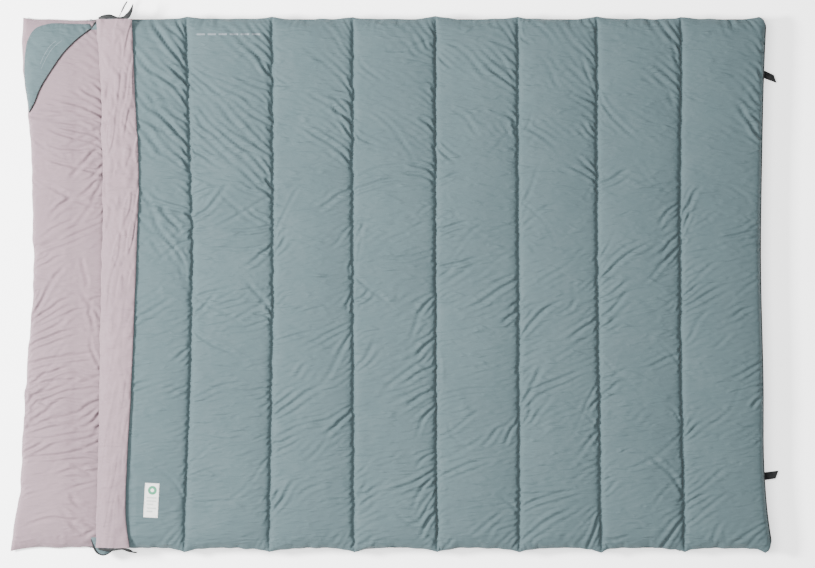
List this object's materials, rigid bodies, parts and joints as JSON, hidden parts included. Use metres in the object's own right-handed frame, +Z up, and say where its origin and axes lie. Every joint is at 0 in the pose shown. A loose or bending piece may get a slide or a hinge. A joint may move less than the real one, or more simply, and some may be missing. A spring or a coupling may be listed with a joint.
{
  "type": "camp quilt",
  "caption": "Double rectangular camp quilt: padded base and zip-on cover in sewn channels, with turned-back cuff, corner pocket, side zips and hanging loops.",
  "frame": {"origin": "middle of the base quilt's underside, where it rests on the ground", "axes": "+Z up, +X from the head to the foot, +Y to the left of a sleeper lying on their back"},
  "size_m": [2.3327, 1.709, 0.0999],
  "materials": {
    "teal_shell": "brushed microfibre plain weave, soft sheen",
    "pink_lining": "soft matt plain weave",
    "wadding": "loose hollow-fibre batting",
    "thread": "twisted polyester thread",
    "zip_tape": "woven polyester tape",
    "zip_coil": "moulded nylon coil",
    "zip_metal": "semi-gloss black paint",
    "grip_plastic": "moulded matt rubberised plastic",
    "webbing": "woven polypropylene webbing",
    "label_cloth": "printed satin label"
  },
  "bodies": {
    "base_quilt": {"base_shell": "teal_shell", "base_lining": "pink_lining", "base_fill_1": "wadding", "base_fill_2": "wadding", "base_fill_3": "wadding", "base_fill_4": "wadding", "base_fill_5": "wadding", "base_fill_6": "wadding", "base_fill_7": "wadding", "base_fill_8": "wadding", "base_fill_9": "wadding", "base_thread": "thread", "cover_foot_shell": "teal_shell", "cover_foot_lining": "pink_lining", "cover_fill_5": "wadding", "cover_fill_6": "wadding", "cover_fill_7": "wadding", "cover_fill_8": "wadding", "cover_foot_thread": "thread", "foot_binding": "zip_tape", "corner_pocket": "teal_shell", "pocket_piping": "zip_tape", "pocket_bar_tacks": "thread", "zip_end_stops": "zip_coil", "base_zip_tape_left": "zip_tape", "base_zip_tape_right": "zip_tape", "base_zip_coil_left": "zip_coil", "base_zip_coil_right": "zip_coil", "cover_foot_zip_tape_left": "zip_tape", "cover_foot_zip_tape_right": "zip_tape", "cover_foot_zip_coil_left": "zip_coil", "cover_foot_zip_coil_right": "zip_coil", "draft_tube_left": "pink_lining", "draft_tube_right": "pink_lining"},
    "cover_head": {"cover_head_shell": "teal_shell", "cover_head_lining": "pink_lining", "cover_fill_1": "wadding", "cover_fill_2": "wadding", "cover_fill_3": "wadding", "cover_fill_4": "wadding", "cover_head_thread": "thread", "sewn_label": "label_cloth", "cover_head_zip_tape_left": "zip_tape", "cover_head_zip_tape_right": "zip_tape", "cover_head_zip_coil_left": "zip_coil", "cover_head_zip_coil_right": "zip_coil"},
    "cuff": {"cuff_shell": "teal_shell", "cuff_facing": "pink_lining", "cuff_wadding": "wadding", "cuff_zip_tape_left": "zip_tape", "cuff_zip_tape_right": "zip_tape"},
    "slider_left": {"zip_slider_left": "zip_metal"},
    "pull_left": {"zip_pull_left": "zip_metal", "pull_grip_left": "grip_plastic"},
    "loop_left": {"hanging_loop_left": "webbing"},
    "slider_right": {"zip_slider_right": "zip_metal"},
    "pull_right": {"zip_pull_right": "zip_metal", "pull_grip_right": "grip_plastic"},
    "loop_right": {"hanging_loop_right": "webbing"}
  },
  "joints": [
    {"name": "cover_fold", "type": "hinge", "parent": "base_quilt", "child": "cover_head", "pos_m": [0.12685, 0, 0.0865], "axis": [0, 1, 0], "range_deg": [0, 177]},
    {"name": "cuff_fold", "type": "hinge", "parent": "cover_head", "child": "cuff", "pos_m": [-0.8887, 0, 0.066], "axis": [0, -1, 0], "range_deg": [0, 178]},
    {"name": "slider_travel_left", "type": "slide", "parent": "base_quilt", "child": "slider_left", "axis": [1, 0, 0], "range_m": [0, 1.935]},
    {"name": "pull_swing_left", "type": "hinge", "parent": "slider_left", "child": "pull_left", "pos_m": [-0.85, 0.82, 0.037], "axis": [0, 0, 1], "range_deg": [-61, 117]},
    {"name": "loop_flex_left", "type": "hinge", "parent": "base_quilt", "child": "loop_left", "pos_m": [1.151, 0.65, 0.013], "axis": [0, -1, 0], "range_deg": [-12, 90]},
    {"name": "slider_travel_right", "type": "slide", "parent": "base_quilt", "child": "slider_right", "axis": [1, 0, 0], "range_m": [0, 1.935]},
    {"name": "pull_swing_right", "type": "hinge", "parent": "slider_right", "child": "pull_right", "pos_m": [-0.85, -0.82, 0.037], "axis": [0, 0, -1], "range_deg": [-11, 167]},
    {"name": "loop_flex_right", "type": "hinge", "parent": "base_quilt", "child": "loop_right", "pos_m": [1.151, -0.598, 0.013], "axis": [0, -1, 0], "range_deg": [-12, 90]}
  ]
}
